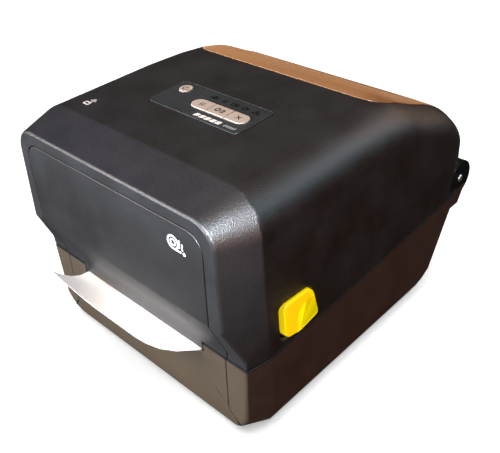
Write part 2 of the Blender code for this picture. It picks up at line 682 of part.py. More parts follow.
def build_tray():
    tray = box("media_tray", (-85.9, 85.9), (74.0, 154.5), TRAY_Z)
    parts = [rod("post", "Z", (side * x, depth), 3.6, (5.3, 19.5), steps=12)
             for x, depth in POST_PLACES for side in (-1, 1)]
    parts.append(rod("stud", "Z", (0.0, ROLL[0]), 2.0, (12.6, 19.5), steps=12))
    join(tray, *parts)
    for x, depth in POST_PLACES:
        for side in (-1, 1):
            cut(tray, rod("hole", "Z", (side * x, depth), 1.8, (0.0, 13.0), steps=10))
    for _, side in SIDES:
        slot = box("slot", sided(side, (51.8, 68.6)), (ROLL[0] - 9.8, ROLL[0] + 9.8), (10.0, 30.0))
        cut(tray, slot)
    finish(tray, DARK_CASE)


def build_electronics():
    board = box("main_board", (-64.0, 64.0), (75.0, 167.0), (7.0, 8.6))
    chips = (((-20, 0), (86, 106), 10.2), ((10, 26), (90, 104), 10.6), ((34, 44), (84, 110), 12.4),
             ((-56, -36), (90, 112), 11.8), ((-50, -44), (144, 156), 12.6), ((-30, -24), (144, 156), 12.6))
    join(board, *[box("chip", x, depth, (8.0, top)) for x, depth, top in chips])
    finish(board, BOARD)

    recess = box("port_recess", (-58.0, 58.0), (170.0, 215.0), (9.2, 33.0))
    cut(recess, box("room", (-56.4, 56.4), (171.6, 230.0), (10.8, 31.4)))
    common(recess, base_solid("outer"))
    ports = (("power_inlet", (-52.0, -38.0), (11.3, 22.0), 2.0),
             ("usb_device_port", (-8.0, 4.0), (11.3, 21.5), 1.2),
             ("usb_host_port", (14.0, 28.0), (11.3, 18.5), 0.9))
    for name, x, z, rim in ports:
        hole = box("hole", (x[0] - GAP, x[1] + GAP), (166.0, 174.0), (z[0] - GAP, z[1] + GAP))
        cut(recess, hole)
        port = box(name, x, (156.0, 174.4), z)
        cut(port, box("socket", (x[0] + rim, x[1] - rim), (163.0, 190.0), (z[0] + rim, z[1] - rim)))
        if name == "power_inlet":
            middle = ((x[0] + x[1]) / 2, (z[0] + z[1]) / 2)
            join(port, rod("pin", "Y", middle, 1.2, (161.0, 173.0), steps=10))
        join(port, box("foot", (x[0] + 1, x[1] - 1), (158.0, 166.0), (8.9, z[0] + 1)))
        finish(port, DARK_CASE if name == "power_inlet" else STEEL)
    finish(recess, DARK_CASE)


# ================================================================ feed
def gear_outline(teeth, module, phase, backlash=0.12):
    """Involute teeth, three points a flank; phase turns a tooth's middle there."""
    pressure = math.radians(20)
    pitch = teeth * module / 2
    base = pitch * math.cos(pressure)
    tip = pitch + 0.95 * module
    root = pitch - 1.2 * module

    def roll(radius):
        angle = math.acos(min(1.0, base / radius))
        return math.tan(angle) - angle
    half = math.pi / (2 * teeth) - backlash / (2 * pitch)
    flank = [max(root, base * 1.0001), (pitch + base) / 2, (pitch + tip) / 2, tip]
    outline = []
    for tooth in range(teeth):
        middle = phase + 2 * math.pi * tooth / teeth
        spread = [(radius, half + roll(pitch) - roll(radius)) for radius in flank]
        foot = (root, spread[0][1])
        side = [foot] + spread if root < flank[0] - 0.01 else spread
        for radius, angle in side:
            outline.append((radius * math.cos(middle - angle), radius * math.sin(middle - angle)))
        for radius, angle in reversed(side):
            outline.append((radius * math.cos(middle + angle), radius * math.sin(middle + angle)))
    return outline


def gear(name, axis, centre, teeth, module, phase, span, bore, look):
    outline = [(centre[0] + a, centre[1] + b) for a, b in gear_outline(teeth, module, phase)]
    wheel = prism(name, axis, outline, *span)
    cut(wheel, rod("bore", axis, centre, bore, (span[0] - 2, span[1] + 2), steps=16))
    finish(wheel, look)


def polar(centre, distance, degrees):
    angle = math.radians(degrees)
    return (centre[0] + distance * math.cos(angle), centre[1] + distance * math.sin(angle))


IDLER = polar(PLATEN, (PLATEN_TEETH + IDLER_TEETH) * GEAR_MODULE / 2, IDLER_ANGLE)
PINION = polar(IDLER, (IDLER_TEETH + PINION_TEETH) * GEAR_MODULE / 2, PINION_ANGLE)


def meshing_phase(teeth, towards, neighbour_teeth, neighbour_phase):
    """Phase that puts a tooth gap where the neighbour's tooth points."""
    line = math.radians(towards)
    share = (line + math.pi - neighbour_phase) * neighbour_teeth / (2 * math.pi)
    share -= math.floor(share)
    return line + (share + 0.5) * 2 * math.pi / teeth


def build_feed():
    deck = box("feed_deck", (-59.8, 59.8), (31.6, 60.0), (44.0, 46.0))
    cheeks = []
    for _, side in SIDES:
        cheeks.append(box("cheek", sided(side, (57.2, 59.8)), (14.0, 60.0), (5.3, 45.0)))
        cheeks.append(box("horn", sided(side, (57.2, 59.8)), (14.0, 31.8), (44.0, 47.9)))
    join(deck, *cheeks)
    slot = box("slot", (-65.0, 65.0), (PLATEN[0] - 4.8, PLATEN[0] + 4.8), (PLATEN[1], 52.0))
    seat = rod("seat", "X", PLATEN, 4.8, (-65.0, 65.0), steps=24)
    window = box("window", (50.0, 65.0), (36.0, 54.0), (12.0, 38.0))
    shaft = rod("shaft", "X", PINION, 6.0, (-65.0, -50.0), steps=16)
    cut(deck, slot, seat, window, shaft)
    finish(deck, DARK_CASE)

    for name, side in SIDES:
        tube("platen_bearing_" + name, "X", PLATEN, 4.5, SHAFT_R + GAP, sided(side, (56.9, 60.0)), NYLON, 20)
    tube("platen_roller", "X", PLATEN, PLATEN_RADIUS, SHAFT_R + GAP, (-PLATEN_HALF, PLATEN_HALF), RUBBER, 28)
    rod("platen_shaft", "X", PLATEN, SHAFT_R, (-69.0, 62.0), STEEL, 16)

    plate = box("gear_plate", (-61.8, -60.3), (14.0, 72.0), (8.0, 46.0))
    stud = rod("stud", "X", IDLER, 2.2, (-68.9, -61.0), steps=12)
    join(plate, stud)
    cut(plate, rod("hole", "X", PLATEN, 5.2, (-65.0, -55.0), steps=16),
        box("open", (-65.0, -55.0), (PLATEN[0] - 5.2, PLATEN[0] + 5.2), (PLATEN[1], 52.0)),
        rod("pinion_hole", "X", PINION, 6.0, (-65.0, -55.0), steps=16))
    finish(plate, STEEL)

    motor = rod("drive_motor", "X", PINION, 17.4, (-56.8, -36.0), steps=24)
    join(motor, rod("boss", "X", PINION, 5.0, (-59.5, -56.0), steps=16),
         rod("shaft", "X", PINION, 1.5, (-69.0, -57.0), steps=12),
         box("plug", (-50.0, -40.0), (69.0, 73.0), (20.0, 28.0)))
    finish(motor, STEEL)

    platen_phase = math.radians(IDLER_ANGLE)
    idler_phase = math.radians(IDLER_ANGLE) + math.pi + math.pi / IDLER_TEETH
    pinion_phase = meshing_phase(PINION_TEETH, PINION_ANGLE + 180, IDLER_TEETH, idler_phase)
    gear("platen_gear", "X", PLATEN, PLATEN_TEETH, GEAR_MODULE, platen_phase, GEAR_X, SHAFT_R + GAP, NYLON)
    gear("idler_gear", "X", IDLER, IDLER_TEETH, GEAR_MODULE, idler_phase, GEAR_X, 2.5, NYLON)
    gear("motor_pinion", "X", PINION, PINION_TEETH, GEAR_MODULE, pinion_phase, GEAR_X, 1.8, STEEL)


def build_guides():
    for name, side in SIDES:
        pad = box("media_guide_" + name, sided(side, (47.0, 54.0)), (37.5, 47.5), (46.3, 47.6))
        upright = box("upright", sided(side, (52.2, 54.0)), (37.5, 47.5), (46.8, 55.0))
        join(pad, upright)
        finish(pad, NYLON)
    box("media_sensor", (-6.0, 6.0), (32.6, 36.4), (46.3, 48.7), DARK_CASE)


def build_holders():
    for name, side in SIDES:
        arm = arc(ROLL, 13.0, 0, 180, 12) + [(ROLL[0] - 9.4, 60.0), (ROLL[0] - 9.4, 14.0), (ROLL[0] + 9.4, 14.0),
                                             (ROLL[0] + 9.4, 60.0)]
        holder = prism("media_holder_" + name, "X", arm, *sided(side, HOLDER_X))
        stud = rod("stud", "X", ROLL, 4.0, sided(side, (44.6, 53.5)), steps=16)
        join(holder, stud, rack(side))
        finish(holder, DARK_CASE)
        tube("media_hub_" + name, "X", ROLL, 12.4, 4.4, sided(side, (44.0, 52.2)), NYLON, 28)
    tube("label_roll", "X", ROLL, ROLL_RADIUS, CORE_OUTER + GAP, (-WEB_HALF, WEB_HALF), PAPER, 48)
    tube("roll_core", "X", ROLL, CORE_OUTER, CORE_INNER, (-WEB_HALF, WEB_HALF), CARD, 32)
    gear("holder_pinion", "Z", (0.0, ROLL[0]), RACK_TEETH, RACK_MODULE, math.pi / 2, RACK_Z, 2.3, NYLON)


def rack(side):
    """Toothed bar of a holder, on its own side of the pinion's axis in depth."""
    pitch = math.pi * RACK_MODULE
    line = RACK_TEETH * RACK_MODULE / 2
    reach = 19.0
    slope = math.tan(math.radians(20))
    tip = 0.9 * RACK_MODULE
    root = 1.2 * RACK_MODULE
    half_tip = pitch / 4 - 0.08 - slope * tip
    half_root = pitch / 4 - 0.08 + slope * root
    count = 9
    # teeth straddle the pinion: a gap faces the pinion's tooth at its foot
    middles = [(i - 3.5) * pitch for i in range(count)]
    teeth = []
    for middle in middles:
        if middle + half_root < reach:
            teeth += [(middle - half_root, line + root), (middle - half_tip, line - tip),
                      (middle + half_tip, line - tip), (middle + half_root, line + root)]
    edge = [(-HOLDER_X[1], line + 4.4), (-HOLDER_X[1], line + root)] + teeth
    edge += [(reach, line + root), (reach, line + 4.4)]
    outline = [(x if side < 0 else -x, ROLL[0] - away if side < 0 else ROLL[0] + away) for x, away in edge]
    return prism("rack", "Z", outline, *RACK_Z)


def build_web():
    """Label web: off the roll, round the bend, over the platen and out in front."""
    lift = ROLL_RADIUS + GAP + WEB_THICK / 2
    dx, dz = ROLL[0] - BEND_DEPTH, ROLL[1] - WEB_Z
    reach = math.hypot(dx, dz)
    climb = math.atan2(dz, dx) + math.asin(lift / reach)
    length = math.sqrt(reach * reach - lift * lift)
    top = (BEND_DEPTH + length * math.cos(climb), WEB_Z + length * math.sin(climb))
    trim = 6.0
    bend_start = (BEND_DEPTH + trim * math.cos(climb), WEB_Z + trim * math.sin(climb))
    path = [top, bend_start, (BEND_DEPTH + 1.6, WEB_Z + 1.3), (BEND_DEPTH - 3.0, WEB_Z + 0.1)]
    path += [(depth, WEB_Z) for depth in (30.0, 9.0)]
    columns = 12
    bm = bmesh.new()
    rows = []
    for depth, z in path:
        rows.append([(WEB_HALF * (2 * i / columns - 1), depth, z) for i in range(columns + 1)])
    for share in (0.25, 0.5, 0.75, 1.0):
        row = []
        for i in range(columns + 1):
            x = WEB_HALF * (2 * i / columns - 1)
            row.append(free_end(x, share))
        rows.append(row)
    grids = []
    for up in (-WEB_THICK / 2, WEB_THICK / 2):
        grids.append([[bm.verts.new(place(x, depth + up * tilt(row), z + up)) for x, depth, z in line]
                      for row, line in enumerate(rows)])
    low, high = grids
    last = len(rows) - 1
    for r in range(last):
        for c in range(columns):
            bm.faces.new((low[r][c], low[r][c + 1], low[r + 1][c + 1], low[r + 1][c]))
            bm.faces.new((high[r][c], high[r + 1][c], high[r + 1][c + 1], high[r][c + 1]))
        bm.faces.new((low[r][0], low[r + 1][0], high[r + 1][0], high[r][0]))
        bm.faces.new((low[r][columns], high[r][columns], high[r + 1][columns], low[r + 1][columns]))
    for c in range(columns):
        bm.faces.new((low[0][c], high[0][c], high[0][c + 1], low[0][c + 1]))
        bm.faces.new((low[last][c], low[last][c + 1], high[last][c + 1], high[last][c]))
    strip = make("label_strip", mesh_from(bm, "label_strip"), PAPER)
    smooth(strip, 40.0)


def tilt(row):
    """The steep stretch by the roll is thickened sideways as well as upwards."""
    return -1.0 if row < 2 else 0.0


def free_end(x, share):
    """The end outside: flat in the middle, curled up at the left, torn back at the right."""
    left = max(0.0, (-x - 2.0) / (WEB_HALF - 2.0))
    right = max(0.0, (x - 20.0) / (WEB_HALF - 20.0))
    reach = 17.5 + 5.0 * left ** 1.5 - 4.0 * right - 12.0 * right ** 3
    curl = 1.0 + 14.6 * left ** 2
    depth = 9.0 - reach * share
    return (x, depth, WEB_Z + curl * share ** 2)


def hang(name, spot, pieces, carrier=None):
    """Hang the pieces that move together on an empty that stands on their joint's axis."""
    axis = bpy.data.objects.new("axis_" + name, None)
    bpy.context.scene.collection.objects.link(axis)
    axis.location = place(*spot)
    for piece in pieces:
        item = bpy.data.objects[piece]
        item.parent = axis
        item.location = -axis.location
    if carrier is not None:
        axis.location -= carrier.location
        axis.parent = carrier
    return axis


def hang_moving_pieces():
    cover = hang("cover", (0.0, *HINGE), ("top_cover", "front_panel", "tear_bar", "media_window", "control_panel",
                                          "control_board", "head_frame", "head_spring_left", "head_spring_right"))
    key_depth = (BAR_DEPTH[0] + BAR_DEPTH[1]) / 2
    for name, span, _ in KEYS:
        hang(name, ((span[0] + span[1]) / 2, key_depth, BUTTON_TOP), (name,), cover)
    hang("power_button", (*POWER_PLACE, BUTTON_TOP), ("power_button",), cover)
    hang("latch_shaft", (0.0, *LATCH_SHAFT), ("latch_shaft",), cover)
    hang("head", (0.0, *HEAD_PIVOT), ("head_bracket", "printhead", "upper_sensor"), cover)
    hang("platen", (0.0, *PLATEN), ("platen_roller", "platen_shaft", "platen_gear"))
    hang("idler", (0.0, *IDLER), ("idler_gear",))
    hang("pinion", (0.0, *PINION), ("motor_pinion",))
    hang("roll", (0.0, *ROLL), ("label_roll", "roll_core"))
    hang("holder_pinion", (0.0, ROLL[0], RACK_Z[0]), ("holder_pinion",))
    hang("media_sensor", (0.0, PLATEN[0], WEB_Z), ("media_sensor",))
    for name, side in SIDES:
        hang("latch_" + name, (side * LATCH_X[1], *LATCH_SHAFT), ("latch_" + name,), cover)
        hang("media_guide_" + name, (side * WEB_HALF, BEND_DEPTH, WEB_Z), ("media_guide_" + name,))
        holder = hang("media_holder_" + name, (side * HOLDER_X[0], *ROLL), ("media_holder_" + name,))
        hang("media_hub_" + name, (side * WEB_HALF, *ROLL), ("media_hub_" + name,), holder)


def build_printer():
    build_cover()
    build_front_panel()
    build_window()
    build_controls()
    build_print_mechanism()
    build_latches()
    build_base()
    build_tray()
    build_electronics()
    build_feed()
    build_guides()
    build_holders()
    build_web()
    hang_moving_pieces()


remove_all()
build_printer()
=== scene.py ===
"""Looks of the desktop label printer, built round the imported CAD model."""
import json
import math

import bmesh
import bpy
from mathutils import Matrix, Vector


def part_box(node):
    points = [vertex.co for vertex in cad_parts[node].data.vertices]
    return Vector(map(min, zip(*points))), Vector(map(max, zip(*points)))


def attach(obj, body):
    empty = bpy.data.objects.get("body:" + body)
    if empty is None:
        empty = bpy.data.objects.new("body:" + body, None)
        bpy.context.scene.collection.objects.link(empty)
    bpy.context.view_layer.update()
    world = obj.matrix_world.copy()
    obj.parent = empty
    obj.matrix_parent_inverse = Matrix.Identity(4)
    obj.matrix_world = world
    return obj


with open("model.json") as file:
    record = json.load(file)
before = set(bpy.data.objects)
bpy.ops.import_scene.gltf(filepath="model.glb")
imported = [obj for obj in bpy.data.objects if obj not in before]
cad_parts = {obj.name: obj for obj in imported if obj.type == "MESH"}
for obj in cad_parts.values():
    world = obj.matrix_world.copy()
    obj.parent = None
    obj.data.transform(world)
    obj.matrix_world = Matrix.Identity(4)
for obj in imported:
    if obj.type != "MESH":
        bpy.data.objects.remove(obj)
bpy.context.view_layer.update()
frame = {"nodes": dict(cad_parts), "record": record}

MM = 0.001
NODES = frame["nodes"]
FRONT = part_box("top_cover")[0].y          # foremost plane of the cover


def place(x, depth, z):
    """Millimetres, depth counted back from the foremost plane of the cover."""
    return Vector((x * MM, FRONT + depth * MM, z * MM))


def top_of(name):
    """Height of a piece's highest point, in millimetres."""
    return round(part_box(name)[1].z / MM, 2)


def middle_of(name):
    """Where a piece's middle is, seen from above: x and depth."""
    low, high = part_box(name)
    return round((low.x + high.x) / 2 / MM, 2), round(((low.y + high.y) / 2 - FRONT) / MM, 2)


# ================================================================ camera
CAMERA_PLACE = (267.45, -151.49, 320.97)
CAMERA_AIM = (-0.58885, 0.55691, -0.58576)
CAMERA_ROLL = -5.0
CAMERA_LENS = 50.5546
SENSOR = 36.0
NEAREST = 0.01            # metres; nothing closer than this is drawn


def make_camera():
    data = bpy.data.cameras.new("camera")
    data.lens = CAMERA_LENS
    data.sensor_width = SENSOR
    data.clip_start = NEAREST
    camera = bpy.data.objects.new("camera", data)
    bpy.context.scene.collection.objects.link(camera)
    turn = Vector(CAMERA_AIM).to_track_quat("-Z", "Y").to_matrix()
    roll = Matrix.Rotation(math.radians(CAMERA_ROLL), 3, "Z")
    camera.matrix_world = Matrix.Translation(place(*CAMERA_PLACE)) @ (turn @ roll).to_4x4()
    bpy.context.scene.camera = camera


# ================================================================ shader tools
class Shader:
    """A material's node tree, with short calls for the few nodes used here."""

    def __init__(self, name):
        self.material = bpy.data.materials.new(name)
        self.material.use_nodes = True
        self.nodes = self.material.node_tree.nodes
        self.links = self.material.node_tree.links
        self.base = self.nodes["Principled BSDF"]
        self.place = self.nodes.new("ShaderNodeTexCoord").outputs["Object"]

    def set(self, **values):
        for key, value in values.items():
            self.base.inputs[key.replace("_", " ")].default_value = value

    def link(self, output, key):
        self.links.new(output, self.base.inputs[key])

    def stretched(self, scale):
        node = self.nodes.new("ShaderNodeMapping")
        self.links.new(self.place, node.inputs["Vector"])
        node.inputs["Scale"].default_value = scale
        return node.outputs["Vector"]

    def noise(self, scale, detail=2.0, rough=0.5, vector=None):
        node = self.nodes.new("ShaderNodeTexNoise")
        self.links.new(vector or self.place, node.inputs["Vector"])
        node.inputs["Scale"].default_value = scale
        node.inputs["Detail"].default_value = detail
        node.inputs["Roughness"].default_value = rough
        return node.outputs["Fac"]

    def cells(self, scale):
        node = self.nodes.new("ShaderNodeTexVoronoi")
        self.links.new(self.place, node.inputs["Vector"])
        node.inputs["Scale"].default_value = scale
        return node.outputs["Distance"]

    def waves(self, scale, direction, distortion=0.0):
        node = self.nodes.new("ShaderNodeTexWave")
        node.bands_direction = direction
        self.links.new(self.place, node.inputs["Vector"])
        node.inputs["Scale"].default_value = scale
        node.inputs["Distortion"].default_value = distortion
        return node.outputs["Fac"]

    def remap(self, value, low, high, to_low, to_high):
        node = self.nodes.new("ShaderNodeMapRange")
        self.links.new(value, node.inputs["Value"])
        for key, number in (("From Min", low), ("From Max", high), ("To Min", to_low), ("To Max", to_high)):
            node.inputs[key].default_value = number
        return node.outputs["Result"]

    def mix(self, factor, first, second):
        node = self.nodes.new("ShaderNodeMix")
        node.data_type = "RGBA"
        self.links.new(factor, node.inputs["Factor"])
        for key, colour in (("A", first), ("B", second)):
            socket = [s for s in node.inputs if s.name == key and s.type == "RGBA"][0]
            if isinstance(colour, tuple):
                socket.default_value = (*colour, 1.0)
            else:
                self.links.new(colour, socket)
        return [s for s in node.outputs if s.type == "RGBA"][0]

    def blend(self, value, low, high, first, second):
        """One colour up to the low value, another from the high value on."""
        return self.mix(self.remap(value, low, high, 0.0, 1.0), first, second)

    def product(self, first, second):
        node = self.nodes.new("ShaderNodeMath")
        node.operation = "MULTIPLY"
        self.links.new(first, node.inputs[0])
        self.links.new(second, node.inputs[1])
        return node.outputs[0]

    def along(self, direction):
        """How far a point lies along a direction of the piece's own frame."""
        node = self.nodes.new("ShaderNodeVectorMath")
        node.operation = "DOT_PRODUCT"
        self.links.new(self.place, node.inputs[0])
        node.inputs[1].default_value = direction
        return node.outputs["Value"]

    def bump(self, height, distance, strength=1.0, under=None):
        node = self.nodes.new("ShaderNodeBump")
        self.links.new(height, node.inputs["Height"])
        node.inputs["Distance"].default_value = distance
        node.inputs["Strength"].default_value = strength
        if under is not None:
            self.links.new(under, node.inputs["Normal"])
        return node.outputs["Normal"]


# ================================================================ materials
WHITE = (1.0, 1.0, 1.0)
DUST = (0.30, 0.29, 0.27)

# moulded plastic, features per metre
CLOUDS = 28.0
PATCHES = 45.0            # rubbed patches
DUST_AREAS = 70.0
DUST_SPECKS = 150.0
COARSE_GRAIN = 1700.0
FINE_GRAIN = 2400.0
COARSE_HEIGHT = 0.00026   # metres
FINE_HEIGHT = 0.00008

RIM_LEVEL = 0.0549        # from here up the case's rim gets painted shade, standing in for the shadow of the cover
RIM_RISE = 0.05           # its rise for each step back, behind the crease
RIM_FADE = 0.0003
# colour of the painted shade on the rim, and the lowered gloss that hides highlights in it
PAINTED_RIM_SHADE = (0.004, 0.003, 0.003)
RIM_GLOSS = 0.1
CREASE = (23.5, 29.7)     # depth of the ring where the sloping front meets the straight body


def painted_rim_shade_mask(shader):
    """Painted shade: 1 on the lower case's rim and ears, 0 below them; the rim rises towards the rear."""
    level = shader.remap(shader.along((0.0, 0.0, 1.0)), RIM_LEVEL - RIM_FADE, RIM_LEVEL, 0.0, 1.0)
    start = RIM_LEVEL - RIM_RISE * (FRONT + CREASE[0] * MM)
    slope = shader.remap(shader.along((0.0, -RIM_RISE, 1.0)), start - RIM_FADE, start, 0.0, 1.0)
    return shader.product(level, slope)


def moulded(name, colour, lighter, rough, grain=1.0, gloss=0.5, glow=0.0, rim=False):
    """Spark-textured moulded plastic: fine grain, faint cloudiness, dust specks and rubbed patches; rim
    paints shade on the lower case's rim, glow paints light into the part.
    """
    shader = Shader(name)
    cloud = shader.noise(CLOUDS, detail=4.0, rough=0.6)
    tone = shader.blend(cloud, 0.35, 0.75, colour, lighter)
    speck = shader.remap(shader.cells(DUST_SPECKS), 0.02, 0.05, 1.0, 0.0)
    rare = shader.remap(shader.noise(DUST_AREAS, detail=1.0), 0.66, 0.70, 0.0, 0.8)
    tone = shader.mix(shader.product(speck, rare), tone, DUST)
    # painted shade: the rim darkens and loses gloss, standing in for the shadow of the cover
    if rim:
        mask = painted_rim_shade_mask(shader)
        tone = shader.mix(mask, tone, PAINTED_RIM_SHADE)
        shader.link(shader.remap(mask, 0.0, 1.0, gloss, RIM_GLOSS), "Specular IOR Level")
    else:
        shader.set(Specular_IOR_Level=gloss)
    shader.link(tone, "Base Color")
    patches = shader.noise(PATCHES, detail=3.0, rough=0.6)
    shader.link(shader.remap(patches, 0.3, 0.7, rough - 0.04, rough + 0.05), "Roughness")
    low = shader.bump(shader.noise(COARSE_GRAIN, rough=0.6), COARSE_HEIGHT * grain, 0.8)
    shader.link(shader.bump(shader.noise(FINE_GRAIN, rough=0.6), FINE_HEIGHT * grain, 0.5, low), "Normal")
    # a glow is painted light: the part shines though it is no lamp
    if glow:
        shader.set(Emission_Color=(*lighter, 1.0), Emission_Strength=glow)
    return shader.material


def smoked_window_painted_reflection():
    """Tan see-through plastic, drawn as an even tan: a painted reflection of the glare on it."""
    shader = Shader("smoked_window_painted_reflection")
    cloud = shader.noise(9.0, detail=2.0, rough=0.4)
    # the tan base colour is a painted reflection of warm surroundings
    shader.link(shader.blend(cloud, 0.25, 0.75, (0.345, 0.188, 0.088), (0.395, 0.216, 0.101)), "Base Color")
    smear = shader.noise(30.0, detail=2.0, rough=0.4)
    shader.link(shader.remap(smear, 0.3, 0.75, 0.24, 0.29), "Roughness")
    waviness = shader.noise(22.0, detail=1.0)
    shader.link(shader.bump(waviness, 0.0006, 0.25), "Normal")
    shader.set(Coat_Weight=0.25, Coat_Roughness=0.08)
    return shader.material


def paper():
    """Label paper; its faint glow is painted light that keeps the paper evenly bright."""
    shader = Shader("label_paper")
    fibre = shader.noise(900.0, detail=4.0, rough=0.7)
    shader.link(shader.mix(fibre, (0.86, 0.86, 0.85), (0.93, 0.93, 0.925)), "Base Color")
    shader.link(shader.remap(fibre, 0.3, 0.7, 0.45, 0.6), "Roughness")
    shader.link(shader.bump(fibre, 0.00004, 0.4), "Normal")
    # painted light: a faint glow over the whole paper
    shader.set(Emission_Color=(*WHITE, 1.0), Emission_Strength=0.14)
    return shader.material


def wound_paper():
    """Edge of a wound roll: faint rings where turn lies on turn."""
    shader = Shader("wound_paper")
    fibre = shader.noise(500.0, detail=4.0, rough=0.7, vector=shader.stretched((0.05, 1.0, 1.0)))
    shader.link(shader.mix(fibre, (0.78, 0.78, 0.76), (0.9, 0.9, 0.885)), "Base Color")
    shader.link(shader.bump(fibre, 0.0001, 0.5), "Normal")
    shader.set(Roughness=0.6)
    return shader.material


def metal(name, colour, rough, brushed=(1.0, 30.0, 30.0)):
    """Brushed metal; the lines run along the axis whose stretch is smallest."""
    shader = Shader(name)
    lines = shader.noise(120.0, detail=4.0, rough=0.7, vector=shader.stretched(brushed))
    shader.link(shader.mix(lines, tuple(c * 0.82 for c in colour), colour), "Base Color")
    shader.link(shader.remap(lines, 0.3, 0.7, rough - 0.06, rough + 0.1), "Roughness")
    shader.link(shader.bump(lines, 0.00003, 0.5), "Normal")
    shader.set(Metallic=1.0)
    return shader.material


def rubber(name, colour):
    shader = Shader(name)
    dusty = tuple(c * 2.4 + 0.01 for c in colour)
    dust = shader.noise(60.0, detail=4.0, rough=0.7)
    shader.link(shader.blend(dust, 0.45, 0.8, colour, dusty), "Base Color")
    grain = shader.noise(1500.0, detail=3.0, rough=0.7)
    shader.link(shader.bump(grain, 0.00012, 0.6), "Normal")
    shader.set(Roughness=0.85)
    return shader.material


def card():
    shader = Shader("roll_card")
    fibre = shader.noise(400.0, detail=5.0, rough=0.7)
    shader.link(shader.mix(fibre, (0.30, 0.20, 0.11), (0.50, 0.37, 0.23)), "Base Color")
    shader.link(shader.bump(fibre, 0.0001, 0.5), "Normal")
    shader.set(Roughness=0.85)
    return shader.material


def board():
    shader = Shader("circuit_board")
    tracks = shader.waves(260.0, "X", distortion=1.5)
    shader.link(shader.blend(tracks, 0.45, 0.55, (0.006, 0.07, 0.03), (0.012, 0.12, 0.05)), "Base Color")
    shader.link(shader.bump(tracks, 0.00003, 0.5), "Normal")
    shader.set(Roughness=0.35)
    return shader.material


def ink(name, colour, rough=0.45, gloss=0.5):
    shader = Shader(name)
    grain = shader.noise(2200.0, detail=2.0)
    shader.link(shader.mix(grain, colour, tuple(c * 0.86 for c in colour)), "Base Color")
    shader.link(shader.remap(grain, 0.3, 0.7, rough - 0.05, rough + 0.08), "Roughness")
    shader.set(Specular_IOR_Level=gloss)
    return shader.material


# name, colour, lighter colour, roughness, and what differs from plain moulded plastic
PLASTICS = (
    ("black_plastic", (0.0150, 0.0140, 0.0138), (0.0175, 0.0165, 0.0163), 0.365, {"gloss": 0.45}),
    ("dark_grey_plastic", (0.020, 0.020, 0.021), (0.024, 0.024, 0.025), 0.45, {"grain": 0.8}),
    # the lower case's lighter, browner colour is painted warm bounce light over its own dark plastic
    ("base_plastic", (0.047, 0.034, 0.0205), (0.055, 0.0395, 0.024), 0.46,
     # rim: painted shade along the lower case's top edge
     {"grain": 0.8, "gloss": 0.25, "rim": True}),
    ("panel_grey", (0.022, 0.027, 0.030), (0.027, 0.032, 0.035), 0.42, {"grain": 0.4, "gloss": 0.35}),
    # the latch's glow is painted light that keeps its yellow bright and flat
    ("latch_yellow", (1.0, 0.74, 0.0), (1.0, 0.80, 0.0), 0.45, {"grain": 0.3, "gloss": 0.10, "glow": 0.6}),
    ("button_beige", (0.45, 0.385, 0.34), (0.51, 0.44, 0.39), 0.45, {"grain": 0.35}),
    ("nylon", (0.62, 0.61, 0.56), (0.70, 0.69, 0.64), 0.45, {"grain": 0.3}),
    ("socket_black", (0.012, 0.012, 0.012), (0.018, 0.018, 0.018), 0.5, {"grain": 0.3}),
    ("head_ceramic", (0.16, 0.12, 0.09), (0.20, 0.15, 0.12), 0.2, {"grain": 0.2}),
)


def make_materials():
    """Each CAD node gets the look that its material slot names; the wound roll gets its own."""
    looks = {name: moulded(name, *look, **extra) for name, *look, extra in PLASTICS}
    looks["window_plastic"] = smoked_window_painted_reflection()
    looks["foot_rubber"] = rubber("foot_rubber", (0.018, 0.018, 0.018))
    looks["roller_rubber"] = rubber("roller_rubber", (0.03, 0.03, 0.03))
    looks["steel"] = metal("steel", (0.66, 0.66, 0.67), 0.28)
    looks["spring_steel"] = metal("spring_steel", (0.50, 0.50, 0.51), 0.3)
    looks["sheet_steel"] = metal("sheet_steel", (0.56, 0.57, 0.60), 0.4, (20.0, 20.0, 1.0))
    looks["bracket_aluminium"] = metal("bracket_aluminium", (0.78, 0.78, 0.80), 0.35)
    looks["label_paper"] = paper()
    looks["core_card"] = card()
    looks["circuit_board"] = board()
    wound = wound_paper()
    for part in frame["record"]["subparts"]:
        look = wound if part["node"] == "label_roll" else looks[part["material_slot"]]
        for slot in NODES[part["node"]].material_slots:
            slot.material = look


# ================================================================ edges
# millimetres taken off the crisp edges of the smaller pieces
EDGES = {
    "front_panel": 0.4, "control_panel": 0.2, "front_bezel": 0.5, "media_window": 0.15,
    "latch_left": 0.5, "latch_right": 0.5, "power_button": 0.3, "pause_button": 0.3,
    "feed_button": 0.3, "cancel_button": 0.3, "feed_deck": 0.25, "media_tray": 0.25,
    "media_holder_left": 0.3, "media_holder_right": 0.3,
    "media_guide_left": 0.3, "media_guide_right": 0.3,
}
CASE_WIDTH = 2.0          # the same for the two big mouldings, of which each rule takes a share
LEVEL = 0.4               # degrees; faces nearer to level than this are one face
WELD = 0.03               # millimetres; points nearer than this are one point

SHARP = 32.0              # degrees; flatter joints between faces are part of a curve
FOLDED = 181.0            # above every angle
HAIRLINE = 0.02           # a share that keeps an edge crisp and nearly square
CRISP = 0.01              # any share above this marks a crisp edge

# ranges of depth
ANYWHERE = (-500.0, 500.0)
AHEAD_OF_HINGE = (-500.0, 207.0)
FRONT_FRAME = (-1.0, 9.6)
BASE_CORNER = (5.0, 15.0)
BASE_CREASE = (23.5, 24.5)

# lowest angle, highest angle, range of depth, share of the width
CASE_RULES = {
    "top_cover": ((SHARP, FOLDED, ANYWHERE, HAIRLINE), (SHARP, FOLDED, AHEAD_OF_HINGE, 0.3),
                  (3.0, SHARP, CREASE, 0.45), (15.0, SHARP, FRONT_FRAME, 0.35),
                  (60.0, 81.0, FRONT_FRAME, 0.75)),
    "base_housing": ((SHARP, FOLDED, ANYWHERE, HAIRLINE), (SHARP, FOLDED, AHEAD_OF_HINGE, 0.25),
                     (5.0, SHARP, BASE_CREASE, 0.5), (60.0, 86.0, BASE_CORNER, 0.9)),
}


